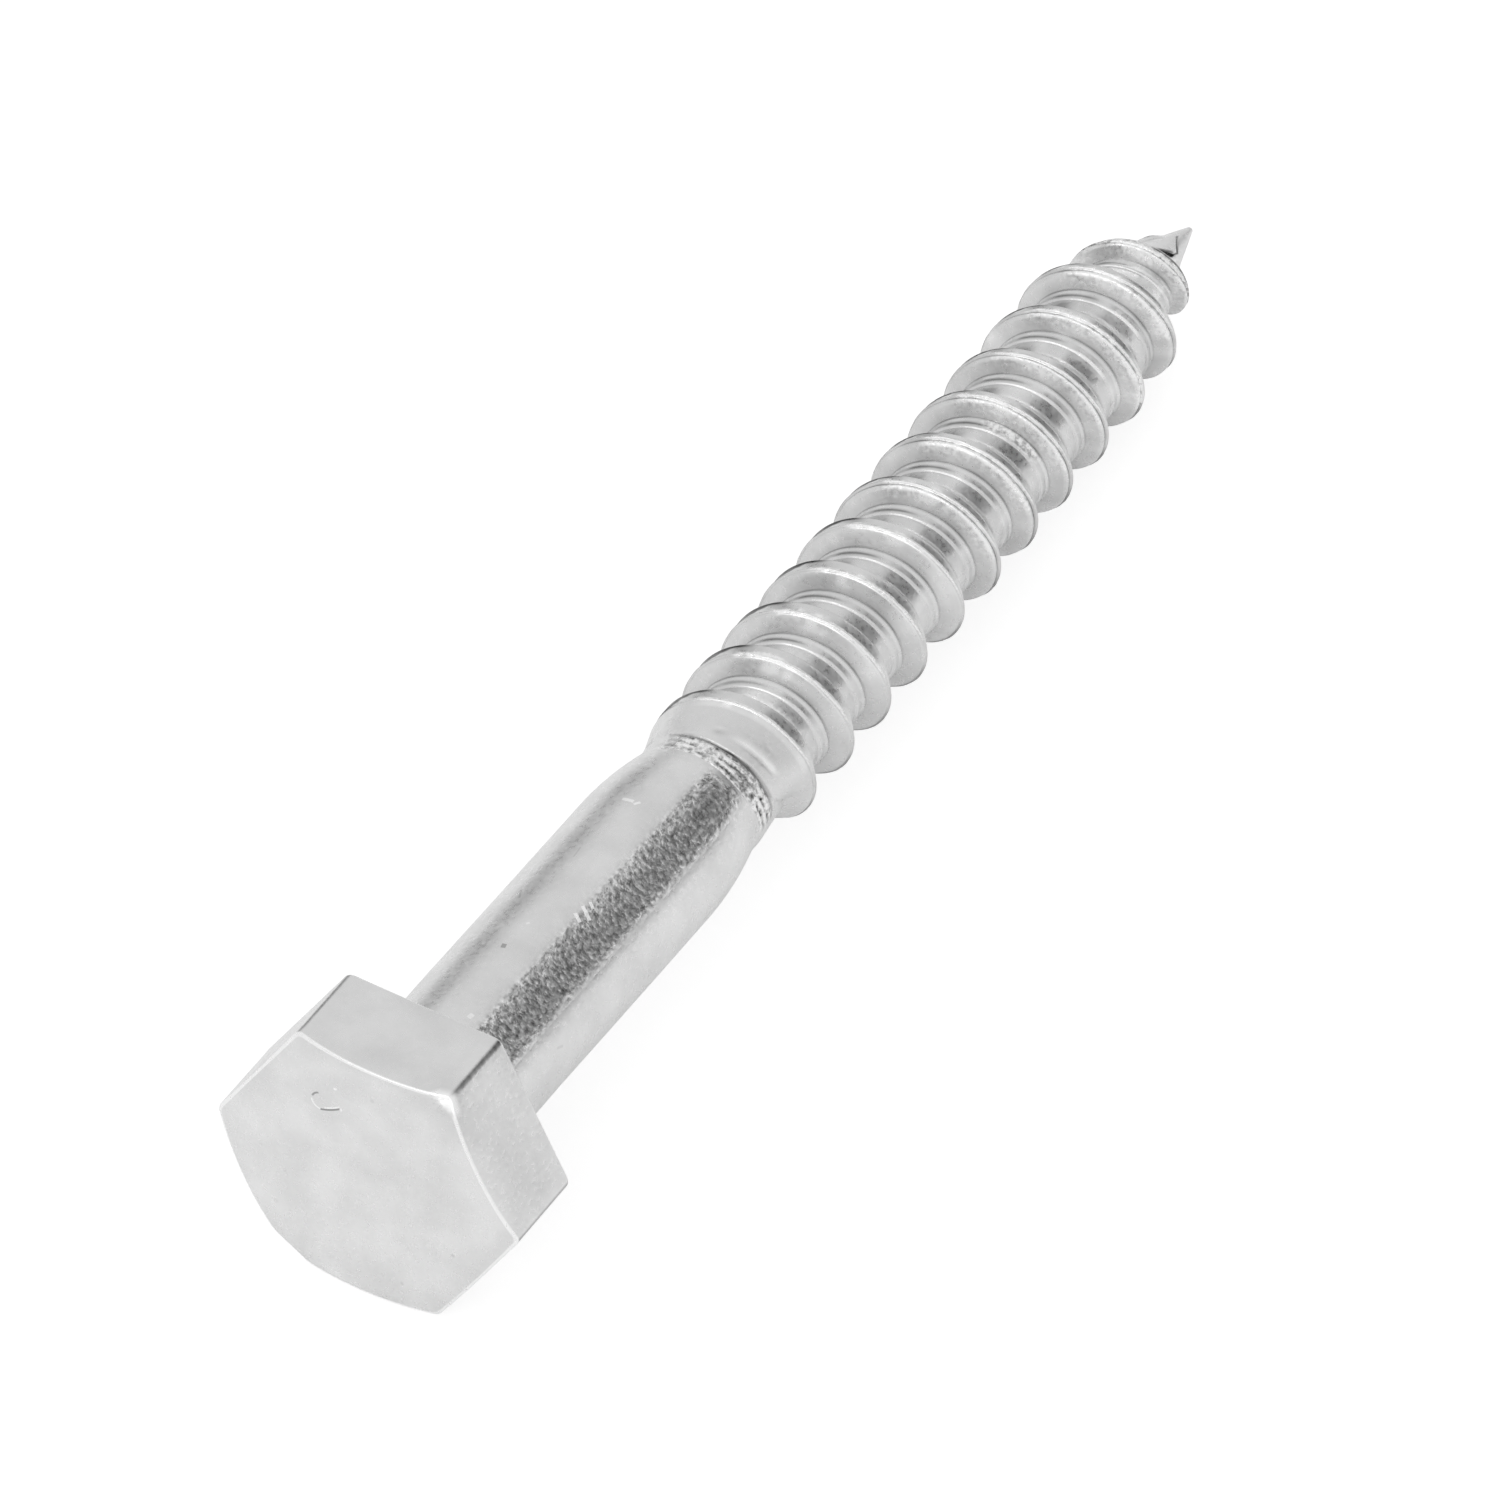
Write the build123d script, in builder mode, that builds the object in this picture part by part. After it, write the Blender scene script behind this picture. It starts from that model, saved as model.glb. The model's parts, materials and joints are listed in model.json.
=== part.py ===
"""Lag screw: a hexagon head wood screw of bright zinc plated steel, M10 x 90.

It is one forged and rolled piece. It lies on a flat surface as it comes to rest: the head's
lowest flat and the last full thread crest touch the surface, so its axis dips a little
towards the point. The model has +Z up and +X towards the point. Its origin is on the
surface, under the middle of the screw's box. Sizes are in millimetres, angles in degrees.

Along the axis, x is the distance from the bearing face, positive towards the point. A turn
about the axis is counted from +Y over the top, as the right-handed thread advances.
"""

import os
from math import atan2, cos, floor, pi, radians, sin, sqrt, tan

from build123d import *

# Head
across_flats = 17.0
head_height = 6.5
upright_corner_radius = 0.55
top_face_radius = 8.05
crown_radius = 20.0  # of the sphere that chamfers the corners down from the top face
bearing_edge_radius = 0.35

# Shank, neck and point
screw_length = 90.0
shank_radius = 4.89
shank_length = 24.5
under_head_cone = 0.4  # widens the shank by as much as its own length
neck_radius = 4.22
neck_length = 6.0
point_radius = 0.2
point_taper_length = 12.0

# Thread
pitch = 4.5
crest_radius = 5.0
root_radius = 3.65
crest_width = 0.35
flank_angle = 30.0
thread_start_gap = 1.2  # from the neck's end to the first trace of the thread
thread_start_turn = -94.0
thread_end_gap = 1.9  # least distance from the last trace of the thread to the point
run_in_turns = 0.6  # the crest rises to its full height in this part of a turn
run_out_turns = 0.4
first_ridge_width = 1.5  # the crest is still broad where it rises
ridge_narrowing_turns = 1.3
root_taper_power = 1.25
crest_taper_power = 1.7

# The thread is built from spans, each a part of one turn
spans_per_turn = 2
steps_per_span = 4
tangent_step = 1e-4

# Places along the axis
neck_end = shank_length + neck_length
thread_start = neck_end + thread_start_gap
span_pitch = pitch / spans_per_turn
span_count = floor((screw_length - thread_end_gap - thread_start) / span_pitch)
thread_turns = span_count / spans_per_turn
thread_end = thread_start + thread_turns * pitch
full_root_start = thread_start + pitch
taper_start = screw_length - point_taper_length

# How the screw lies: on the head's lowest flat and on the last full crest under the axis
flat_radius = across_flats / 2
underside_turn = 270.0
first_underside_crest = thread_start + pitch * (underside_turn - thread_start_turn) / 360
crests_to_taper = floor((taper_start - first_underside_crest) / pitch)
toe = first_underside_crest + crests_to_taper * pitch + crest_width / 2
heel = -bearing_edge_radius
tilt = atan2(flat_radius - crest_radius, toe - heel)
axis_height = flat_radius * cos(tilt) + heel * sin(tilt)
low_end = -head_height * cos(tilt) - top_face_radius * sin(tilt)
high_end = screw_length * cos(tilt)

# The screw's own frame: X along the axis, Z upwards, origin in the middle of the bearing face
bearing_centre = Vector(-(low_end + high_end) / 2, 0, axis_height)
axis_direction = Vector(cos(tilt), 0, -sin(tilt))
upwards = Vector(sin(tilt), 0, cos(tilt))
screw = Plane(origin=bearing_centre, x_dir=axis_direction, z_dir=upwards)
screw_axis = Axis(bearing_centre, axis_direction)
bearing_plane = Plane(origin=bearing_centre, x_dir=upwards, z_dir=-axis_direction)

# Thread section, as points at a distance along the axis and a radius from it


def tapered(full_radius, end_radius, power, x):
    """Radius at x of a form that keeps its full radius up to the point's taper."""
    taper = min(1.0, max(0.0, (x - taper_start) / point_taper_length))
    return end_radius + (full_radius - end_radius) * (1 - taper**power)


def core_radius(x):
    """Radius between the threads. The first turn's and the last turn's core are cones."""
    if x < full_root_start:
        return neck_radius + (root_radius - neck_radius) * (x - neck_end) / (full_root_start - neck_end)
    if x > point_cone_start:
        cone_radius = tapered(root_radius, point_radius, root_taper_power, point_cone_start)
        share = (x - point_cone_start) / (screw_length - point_cone_start)
        return cone_radius + (point_radius - cone_radius) * share
    return tapered(root_radius, point_radius, root_taper_power, x)


def thread_height(x):
    """Share of its full height that the thread has at x."""
    run_in = min(1.0, (x - thread_start) / (run_in_turns * pitch))
    run_out = min(1.0, (thread_end - x) / (run_out_turns * pitch))
    return sin(pi / 2 * run_in) * sin(pi / 2 * run_out)


def half_widths(x):
    """Half of the thread's width at its crest and at its foot."""
    narrowing = min(1.0, (x - thread_start) / (ridge_narrowing_turns * pitch))
    full_crest = tapered(crest_radius, 0, crest_taper_power, x)
    ridge = first_ridge_width + (crest_width - first_ridge_width) * narrowing
    at_crest = ridge / 2 * min(1.0, full_crest / root_radius)
    depth = (full_crest - tapered(root_radius, point_radius, root_taper_power, x)) * thread_height(x)
    least_flank = crest_width / 10
    return at_crest, at_crest + depth * tan(radians(flank_angle)) + least_flank


def thread_section(x):
    """Head side's foot and crest, then the point side's crest and foot."""
    crest_half, foot_half = half_widths(x)
    full_crest = tapered(crest_radius, 0, crest_taper_power, x)
    corners = []
    for corner_x, height in (
        (x - foot_half, 0),
        (x - crest_half, thread_height(x)),
        (x + crest_half, thread_height(x)),
        (x + foot_half, 0),
    ):
        core = core_radius(corner_x)
        corners.append((corner_x, core + (full_crest - core) * height))
    return corners


last_turn_start = thread_end - pitch
point_cone_start = last_turn_start + half_widths(last_turn_start)[1]

# Threaded rod: helical strips between the four edges of the thread, closed by two discs


def on_turn(x, radius, turn):
    """Place at x along the axis and at a radius from it, after a turn about the axis."""
    angle = radians(turn)
    return screw.from_local_coords((x, radius * cos(angle), radius * sin(angle)))


def thread_corner(corner, turns):
    """Place of one corner of the thread's section after so many turns."""
    turns = min(thread_turns, max(0.0, turns))
    x, radius = thread_section(thread_start + turns * pitch)[corner]
    return on_turn(x, radius, thread_start_turn + 360 * turns)


def thread_edge(corner, span):
    """One span of the helical edge that a corner of the section draws."""
    steps = [step / steps_per_span for step in range(steps_per_span + 1)]
    turns = [(span + step) / spans_per_turn for step in steps]
    tangents = []
    for end in (turns[0], turns[-1]):
        before = max(0.0, end - tangent_step)
        after = min(thread_turns, end + tangent_step)
        travel = thread_corner(corner, after) - thread_corner(corner, before)
        tangents.append(travel / (after - before) / spans_per_turn)
    points = [thread_corner(corner, turn) for turn in turns]
    return Edge.make_spline(points, tangents=tangents, parameters=steps, scale=False)


def ring(x, radius, first_span):
    """Circle about the axis, in arcs that face the spans of one turn."""
    span_angle = 360 / spans_per_turn
    arcs = []
    for span in range(first_span, first_span + spans_per_turn):
        first_turn = thread_start_turn + span_angle * span
        turns = (first_turn, first_turn + span_angle / 2, first_turn + span_angle)
        arcs.append(Edge.make_three_point_arc(*[on_turn(x, radius, turn) for turn in turns]))
    return arcs


head_foot, head_crest, point_crest, point_foot = [
    [thread_edge(corner, span) for span in range(span_count)] for corner in range(4)
]
neck_ring = ring(neck_end, neck_radius, 0)
point_ring = ring(screw_length, point_radius, span_count - spans_per_turn)

head_flanks = zip(head_foot, head_crest)
crests = zip(head_crest, point_crest)
point_flanks = zip(point_crest, point_foot)
roots = zip(point_foot, head_foot[spans_per_turn:])
run_in_root = zip(neck_ring, head_foot)
point_root = zip(point_foot[-spans_per_turn:], point_ring)
strips = [
    Face.make_surface_from_curves(first, second)
    for edge_pairs in (head_flanks, crests, point_flanks, roots, run_in_root, point_root)
    for first, second in edge_pairs
]
discs = [Face(Wire(neck_ring)), Face(Wire(point_ring))]

with BuildPart() as threaded_rod:
    add(Solid(Shell(strips + discs)))

# Head: a hexagon on one flat, with rounded corners, its top crowned by a sphere
with BuildPart() as head:
    with BuildSketch(bearing_plane):
        RegularPolygon(flat_radius, side_count=6, major_radius=False, rotation=30)
        fillet(vertices(), radius=upright_corner_radius)
    extrude(amount=head_height)
    fillet(faces().sort_by(screw_axis)[-1].edges(), radius=bearing_edge_radius)
    crown_centre = sqrt(crown_radius**2 - top_face_radius**2) - head_height
    with Locations(screw * Location((crown_centre, 0, 0))):
        Sphere(crown_radius, mode=Mode.INTERSECT)

# The whole screw: shank and neck are turned about the axis, and join head and threaded rod
with BuildPart() as lag_screw:
    with BuildSketch(screw):
        with BuildLine():
            cone_top = (0, shank_radius + under_head_cone)
            cone_foot = (under_head_cone, shank_radius)
            shank_end = (shank_length, shank_radius)
            Polyline(cone_top, cone_foot, shank_end)
            TangentArc(shank_end, (neck_end, neck_radius), tangent=(1, 0))
            Polyline((neck_end, neck_radius), (neck_end, 0), (0, 0), cone_top)
        make_face()
    revolve(axis=screw_axis)
    add(head.part)
    add(threaded_rod.part)

lag_screw.part.label = "lag_screw"

os.makedirs("parts", exist_ok=True)
export_step(lag_screw.part, "parts/lag_screw.step")
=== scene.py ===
"""Lag screw of bright zinc plated steel, lying on a white studio floor.

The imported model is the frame. One detailed mesh stands for its single solid: hexagon head,
shank, neck, rolled thread and sheared point. Lengths along the screw and radii are in
millimetres in the screw's own frame: x is the distance from the bearing face, positive
towards the point, and a turn about the axis is counted in degrees from +Y over the top. The
camera looks at turn 115: the far side has smaller turns and the near side larger ones.

On the thread, along is how far its helix has advanced from the thread's start, and offset is
a place across its section, from the crest's, positive towards the point. A window is four
rising places: a form starts at the first, is full from the second to the third, and has
faded at the fourth. A tone brightens the metal where it is positive and darkens it where it
is negative.
"""

import json
import math

import bmesh
import bpy
import numpy as np
from mathutils import Matrix, Vector


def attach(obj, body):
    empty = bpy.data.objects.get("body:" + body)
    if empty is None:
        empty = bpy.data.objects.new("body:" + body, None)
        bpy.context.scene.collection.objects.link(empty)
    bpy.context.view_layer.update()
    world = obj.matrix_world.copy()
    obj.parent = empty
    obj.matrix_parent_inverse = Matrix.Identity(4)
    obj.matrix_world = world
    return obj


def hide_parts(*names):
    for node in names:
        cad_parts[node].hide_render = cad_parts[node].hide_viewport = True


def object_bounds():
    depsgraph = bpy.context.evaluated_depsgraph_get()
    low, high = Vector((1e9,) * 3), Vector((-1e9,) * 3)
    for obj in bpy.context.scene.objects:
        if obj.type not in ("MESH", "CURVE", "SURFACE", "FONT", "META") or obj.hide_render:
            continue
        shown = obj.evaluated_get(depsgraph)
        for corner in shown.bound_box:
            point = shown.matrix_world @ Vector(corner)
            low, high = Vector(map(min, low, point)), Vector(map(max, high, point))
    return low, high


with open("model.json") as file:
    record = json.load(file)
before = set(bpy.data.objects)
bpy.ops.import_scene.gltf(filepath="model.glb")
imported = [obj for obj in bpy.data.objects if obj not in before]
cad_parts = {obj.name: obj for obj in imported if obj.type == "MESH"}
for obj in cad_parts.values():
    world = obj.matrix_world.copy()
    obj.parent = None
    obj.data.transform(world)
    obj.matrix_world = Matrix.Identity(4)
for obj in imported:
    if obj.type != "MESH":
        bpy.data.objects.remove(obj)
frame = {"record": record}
cad_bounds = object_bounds()

MM = 0.001

# Head
ACROSS_FLATS = 17.0
HEAD_HEIGHT = 6.5
CORNER_RADIUS = 0.55
TOP_FACE_RADIUS = 8.05
CROWN_RADIUS = 20.0
CROWN_SOFTNESS = 0.10  # of the edge between the flat top face and the crown
RIM_BEVEL = 0.15
BEARING_EDGE_RADIUS = 0.35

# Corners of the head whose tips are blunted, as the turn of each and how deep it is pressed flat
BLUNT_CORNERS = ((60, 0.05), (120, 0.20), (180, 0.05), (300, 0.26))

# Shank, neck and point
SCREW_LENGTH = 90.0
SHANK_RADIUS = 4.89
SHANK_LENGTH = 24.5
UNDER_HEAD_CONE = 0.4
NECK_RADIUS = 4.2
NECK_LENGTH = 5.6
POINT_RADIUS = 0.2
POINT_TAPER_LENGTH = 12.0

# Thread
PITCH = 4.5
CREST_RADIUS = 5.04
CREST_FALL = 0.0036  # how much the crest's radius falls in each millimetre of the thread
CREST_TAPER_POWER = 1.7
ROOT_RADIUS = 3.65
ROOT_TAPER_POWER = 1.25
THREAD_START = 31.7
THREAD_START_TURN = -94.0
CORE_START = 31.2  # where the neck begins to thin down to the thread's root
THREAD_END = 87.95
RUN_IN_TURNS = 0.6
RUN_OUT_TURNS = 0.4
LAST_RIDGE_SINKS = 87.2  # from here to the end the last ridge sinks into the core

# Fineness of the mesh
COLUMNS = 144
STRIP_TURNS = 12

TAPER_START = SCREW_LENGTH - POINT_TAPER_LENGTH
NECK_END = SHANK_LENGTH + NECK_LENGTH
FLAT_RADIUS = ACROSS_FLATS / 2
HALF_PITCH = PITCH / 2
STRIP_START = THREAD_START - HALF_PITCH
STRIP_END = THREAD_START + PITCH * STRIP_TURNS + HALF_PITCH

# Windows that are open on one side or both begin before the thread or end after it
BEFORE = (-2, -1)
AFTER = (99, 100)
ALL_ALONG = (*BEFORE, *AFTER)
ALL_TURNS = (-96, -95, 267, 268)

# A seam opens beside the crest in this part of the thread
SEAM_OPENS = (21, 25)

# The thread's section: offset, height there as a share of the full height, and what the open
# seam adds to that share
SECTION = (
    (-1.66, 0.0, 0.0),
    (-1.59, 0.075, 0.0),
    (-1.04, 0.095, 0.0),
    (-0.97, 0.150, 0.0),
    (-0.80, 0.140, 0.0),
    (-0.73, 0.085, 0.0),
    (-0.66, 0.170, 0.0),
    (-0.50, 0.55, 0.32),
    (-0.42, 0.74, 0.19),
    (-0.33, 0.915, -0.045),
    (-0.26, 0.92, -0.04),
    (-0.20, 1.01, 0.0),
    (-0.14, 0.985, 0.0),
    (0.10, 0.975, 0.0),
    (0.38, 0.985, 0.0),
    (0.46, 1.0, -0.03),
    (1.60, 0.0, 0.0),
)

# Lines of the thread's section that the mesh follows, as offsets
SECTION_LINES = (
    -2.25, -2.05, -1.85, -1.72, -1.66, -1.625, -1.59, -1.44, -1.30, -1.17, -1.04, -0.97, -0.80,
    -0.765, -0.73, -0.695, -0.66, -0.535, -0.50, -0.46, -0.42, -0.37, -0.33, -0.295, -0.26, -0.23,
    -0.20, -0.17, -0.14, -0.02, 0.10, 0.24, 0.38, 0.42, 0.46, 0.70, 0.92, 1.04, 1.16, 1.36, 1.60,
    1.90, 2.25,
)

# How far the thread's foot and crest stray from a true helix, by distance along the thread, and
# how much the crest's back edge strays besides
FOOT_DRIFT = (
    (0, 0.30), (7, 0.26), (12, 0.05), (20, -0.12), (28, -0.25), (36, -0.14), (43, -0.16),
    (48, -0.30), (53, 0.0),
)
CREST_DRIFT = (
    (0, 0.30), (7, 0.23), (12, 0.10), (16, -0.08), (26, -0.05), (30, 0.05), (36, -0.13),
    (44, -0.05), (49, 0.05), (53, 0.0),
)
CREST_WIDENING = ((0, 0.22), (14, 0.22), (26, -0.16), (48, -0.16), (53, 0.0))

# Offsets that stray: two at the foot, two at the crest's front, its back edge and the back's foot
STRAYING_PLACES = (-2.25, -1.62, -0.65, -0.35, -0.14, 0.46, 1.60, 2.25)
BACK_FOOT_SHARE = 0.4  # of the back edge's straying

# On the near lower side the crest is narrow: its front and its back edge are drawn in
NARROW_CREST_TURNS = (130, 175, 235, 262)
FRONT_DRAWN_IN = 0.20
BACK_DRAWN_IN = 0.30

# The first roots are filled behind the crest, less and less up to an offset
ROOT_FILL = 0.34
ROOT_FILL_STRETCH = (0.0, 1.2, 1.5, 14)
ROOT_FILL_END = 2.9
ROOT_FILL_LENGTH = 1.75
ROOT_FILL_POWER = 1.3

# The long slope that leads from the neck up to the first turn's crest
SLOPE_TOP_OFFSET = -0.24
SLOPE_TOP_DROP = 0.08  # how much lower than the crest it ends
SLOPE_POWER = 1.15
SLOPE_ENDS = (3.9, 4.4)
LEAST_SLOPE_LENGTH = 0.3
LATE_SLOPE_TURNS = (160, 190)  # its foot moves away from the neck's folds in these turns
LATE_SLOPE_SHIFT = 1.75
LEDGE_HEIGHT = 0.06  # how much higher than the neck its foot is
LEDGE_STARTS = (0, 0.3)

# A small step and a crease across that slope, at places from its foot
STEP_HEIGHT = 0.035
STEP_PLACES = (1.00, 1.08, 1.1, 1.8)
STEP_TURNS = (96, 108, 140, 150)
CREASE_TURNS = (86, 100, 138, 152)
CREASE_PLACE = 0.72
CREASE_HALF_WIDTH = 0.07
CREASE_DEPTH = 0.02
# The crease's lines are painted shade in it and a painted highlight just beyond it
CREASE_LINES = ((1.00, 0.07, 1.0), (0.74, 0.06, -1.1))  # place, half width and tone

# Fine folds on the neck. The lines where they begin and end are level up to a turn, then slant:
# place along the axis, that turn, and how far a degree advances the line
FOLDS_BEGIN = (29.72, 132, 0.0145)
FOLDS_END = (31.32, 105, 0.0105)
FOLD_TURNS = (52, 78, 172, 188)
FOLD_SHARES = (0.0, 0.06, 0.86, 0.93)  # of the way between the two lines
FOLD_COUNT = 3.4
FOLD_PHASE = -0.15
FOLD_PHASE_NOISE = 0.10
FOLD_STRENGTH = 0.8
FOLD_STRENGTH_NOISE = 0.5
FOLD_ARC = 0.075  # of a degree about the neck
FOLD_LIFT = 0.02
FOLD_HEIGHT = 0.035
# The fold tones follow the folds' waves and flakes: painted light on their ridges, painted shade
# between them
FOLD_TONE = 0.55
FOLD_FLAKE_HEIGHT = 0.018
FOLD_FLAKE_TONE = 0.35
# Groove where the folds end, darkened with painted shade
GROOVE_TURNS = (55, 92, 166, 184)
GROOVE_HALF_WIDTH = 0.065
GROOVE_DEPTH = 0.12
GROOVE_PAINTED_SHADE = -1.35

# Crack over the point, as places along the axis and turns about it, wide first and then thin
POINT_CRACK = ((85.3, 96), (86.2, 131), (86.9, 142), (88.2, 104))
POINT_ARC = 0.026  # of a degree about the point
# The cracks' dark tones are painted shade inside them
WIDE_CRACK = (0.18, 0.16, -2.8)  # half width, depth and tone
THIN_CRACK = (0.07, 0.06, -1.3)

# The screw was never quite straight: its axis bends in a half wave, and the point is bent too
BOW = 0.24
BOW_START = 8
BOW_LENGTH = 58
BOW_BEYOND = 1.25  # how many times as strong it is beyond the half wave
POINT_BEND = 0.24
POINT_BEND_START = 87.2

# Noises, as the width of a cell and a seed
GRAIN = (0.45, 3)
FLAKES = (0.36, 5)
FLAKE_SHIFTS = (0.5, 6)
BLOBS = (0.5, 11)
STREAKS = (0.7, 12)
PATCHES = (0.9, 13)
STREWN = (0.6, 21)
FOLD_FLAKES = (0.28, 22)

GRAIN_HEIGHT = 0.004
FLAKE_HEIGHT = 0.045
FLAKE_SHIFT = 0.03

# Speckle along the shank, a little stronger beside the head, and in the same band a painted dark
# reflection
SPECKLE_TURNS = (105, 109, 138, 144)
SPECKLE_ROUGHNESS = 0.7
SPECKLE_AT_HEAD = 0.3
SPECKLE_FADING_LENGTH = 3
SPECKLE_BAND_PAINTED_REFLECTION = -0.36

# Lines along the thread: middle and half width across its section, windows of the turns and of
# the stretch along the thread that show it, what breaks it up, tone and roughness
THREAD_LINES = (
    # Burr on the crest, rough and whitish and partly a painted highlight; painted highlights on its
    # ragged upper part and on the flank beside that
    (-0.18, 0.075, (60, 72, 140, 170), ALL_ALONG, "streaks", 1.1, 0.8),
    (-0.14, 0.17, (60, 70, 100, 115), ALL_ALONG, "blobs", 0.9, 1.0),
    (-0.36, 0.22, (80, 92, 101, 110), ALL_ALONG, "blobs", 0.55, 0.0),
    # Lip of the seam with a painted highlight, its rough edge, and its groove in painted shade
    (-0.47, 0.05, (60, 80, 150, 175), (*SEAM_OPENS, *AFTER), "streaks", 0.7, 0.0),
    (-0.45, 0.10, (55, 75, 150, 175), (*SEAM_OPENS, *AFTER), "nothing", 0.0, 0.8),
    (-0.30, 0.045, ALL_TURNS, (*SEAM_OPENS, *AFTER), "nothing", -0.8, 0.0),
    # Shade beside the burr, where there is no seam yet
    (-0.28, 0.04, (60, 80, 150, 175), (*BEFORE, *SEAM_OPENS), "nothing", -0.35, 0.0),
    # Painted shade in the groove at the flank's foot, darker down to the near side
    (-0.73, 0.06, ALL_TURNS, (4, 5, *AFTER), "nothing", -0.36, 0.0),
    (-0.73, 0.06, (-96, -95, 140, 170), (4, 5, *AFTER), "nothing", -0.54, 0.0),
    # Painted shade along the ledge in the root, on top
    (-1.30, 0.10, (50, 60, 84, 104), (4, 9, *AFTER), "nothing", -0.9, 0.0),
    # Painted shade on the crest's edge on the near lower side, where it mirrors the floor's shadow,
    # and in the root behind the crest on the far side
    (-0.22, 0.08, (185, 205, 245, 262), ALL_ALONG, "nothing", -0.7, 0.0),
    (1.85, 0.6, (42, 56, 70, 84), ALL_ALONG, "nothing", -0.5, 0.0),
    # Metal torn at one place of the foot and of the crest, and along the last turn's crest
    (-1.15, 0.35, (80, 95, 140, 155), (33.5, 34, 35.3, 35.8), "nothing", 0.25, 1.0),
    (-0.25, 0.22, ALL_TURNS, (42.3, 42.7, 44.0, 44.4), "blobs", 0.9, 1.0),
    (-0.1, 0.35, ALL_TURNS, (50.5, 51.2, *AFTER), "nothing", 0.0, 1.0),
)

# Bands along the thread: windows of the offsets, of the turns and of the stretch that show it,
# and tone
LIT_TURNS = (110, 120, 142, 152)
THREAD_BANDS = (
    # Painted light on the flank that faces the head
    ((-0.72, -0.60, -0.32, -0.24), (55, 80, 150, 170), ALL_ALONG, 0.2),
    # Painted shade on the back edge of the last turn
    ((0.12, 0.22, 0.34, 0.46), (98, 108, 190, 205), (51.5, 51.8, *AFTER), -1.2),
    # Painted light in the roots: the last ones, on both sides of the crest, and the first one
    ((0.9, 1.1, 3, 4), LIT_TURNS, (38, 46, *AFTER), 0.5),
    ((-4, -3, -1.3, -1.1), LIT_TURNS, (38, 46, *AFTER), 0.5),
    ((0.9, 1.1, 3, 4), LIT_TURNS, (*BEFORE, 4, 6), 0.35),
)

# The crest's back edge on the far side, where painted shade makes a dark line. It starts further back
# as it comes over the top
BACK_EDGE_TURNS = (0, 12, 62, 76)
BACK_EDGE_START = -0.10
BACK_EDGE_SHIFT = 0.35
BACK_EDGE_SHIFTS = (35, 60)
BACK_EDGE_RISE = 0.08
BACK_EDGE_ENDS = (0.5, 0.7)
BACK_EDGE_PAINTED_SHADE = -1.2
BACK_EDGE_SEAM_PAINTED_SHADE = -0.6

# The thread is a little darker than the shank, most of all on the far side, and patchier
THREAD_TONE_STARTS = (0.5, 3.0)
THREAD_TONE = -0.05
FAR_SIDE_TONE = -0.08
FAR_SIDE_ENDS = (66, 90)
PATCH_TONE = 0.05
LATE_PATCH_TONE = 0.09
LATE_PATCHES_GROW = (15, 30)

# The crest's edge is ragged, most of all on top
RAGGED_LINE = (-0.12, 0.16)  # middle and half width
RAGGED_TURNS = (55, 70, 98, 112)
RAGGED_STRETCH = (0, 0.5, 53.2, 53.9)
RAGGED_ELSEWHERE = 0.35


# The screw's own frame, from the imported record's mounts


def screw_frame():
    """Matrix from the screw's own frame in millimetres to the row frame in metres."""
    mounts = {mount["name"]: mount for mount in frame["record"]["mounts"]}
    along = Vector(mounts["shank"]["axis"]).normalized()
    up = Vector(mounts["wrench_flat_top"]["axis"]).normalized()
    side = up.cross(along)
    on_axis = Vector(mounts["shank"]["pos_m"])
    on_face = Vector(mounts["bearing_face"]["pos_m"])
    origin = on_axis + along * (on_face - on_axis).dot(along)
    turned = Matrix((along, side, up)).transposed().to_4x4()
    return Matrix.Translation(origin) @ turned @ Matrix.Scale(MM, 4)


# Repeatable noise


def lattice(ix, iy, iz, seed):
    """Value from -1 to 1 for each corner of a lattice, always the same for one seed."""
    mixed = ix * 73856093 ^ iy * 19349663 ^ iz * 83492791 ^ seed * 2654435
    mixed = (mixed ^ (mixed >> 13)) * 1274126177
    mixed = (mixed ^ (mixed >> 16)) & 0xFFFFFF
    return mixed / 0x7FFFFF - 1.0


def noise(points, cell, seed):
    """Smooth noise from -1 to 1 at points (..., 3), whose features are about one cell wide."""
    scaled = np.asarray(points) / cell
    base = np.floor(scaled).astype(np.int64)
    part = scaled - base
    part = part * part * (3 - 2 * part)
    total = 0.0
    for corner in np.ndindex(2, 2, 2):
        weight = 1.0
        for place, far in enumerate(corner):
            weight = weight * (part[..., place] if far else 1 - part[..., place])
        reached = [base[..., place] + corner[place] for place in range(3)]
        total = total + weight * lattice(*reached, seed)
    return total


# Curves


def smooth_step(value, low, high):
    """Nil up to the low place, one from the high place on, and a smooth rise between them."""
    share = np.clip((value - low) / (high - low), 0, 1)
    return share * share * (3 - 2 * share)


def within(value, window):
    """One in the middle of a window, nil outside it."""
    start, full, fading, end = window
    return smooth_step(value, start, full) * (1 - smooth_step(value, fading, end))


def line_at(value, middle, half_width):
    """One on a line, fading like a bell on both sides of it."""
    return np.exp(-(((value - middle) / half_width) ** 2))


def quarter_wave(share):
    """Rise from nil to one that ends level."""
    return np.sin(math.pi / 2 * np.clip(share, 0, 1))


def piecewise(value, places, heights):
    """Straight lines between heights at rising places, which may differ from point to point."""
    total = heights[0] + 0.0 * value
    for near, far, low, high in zip(places, places[1:], heights, heights[1:]):
        total = total + (high - low) * np.clip((value - near) / (far - near), 0, 1)
    return total


def drift(along, knots):
    """How far a line of the thread strays along the axis from a true helix."""
    places, strays = zip(*knots)
    return np.interp(along, places, strays)


# Form of the rod: radius at a place along the axis and a turn about it


def helix_turn(along):
    """Turn about the axis that the thread has reached."""
    return THREAD_START_TURN + 360 * along / PITCH


def in_first_turn(turn):
    """The same direction from the axis, as a turn in the thread's first."""
    return THREAD_START_TURN + (turn - THREAD_START_TURN) % 360


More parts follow.
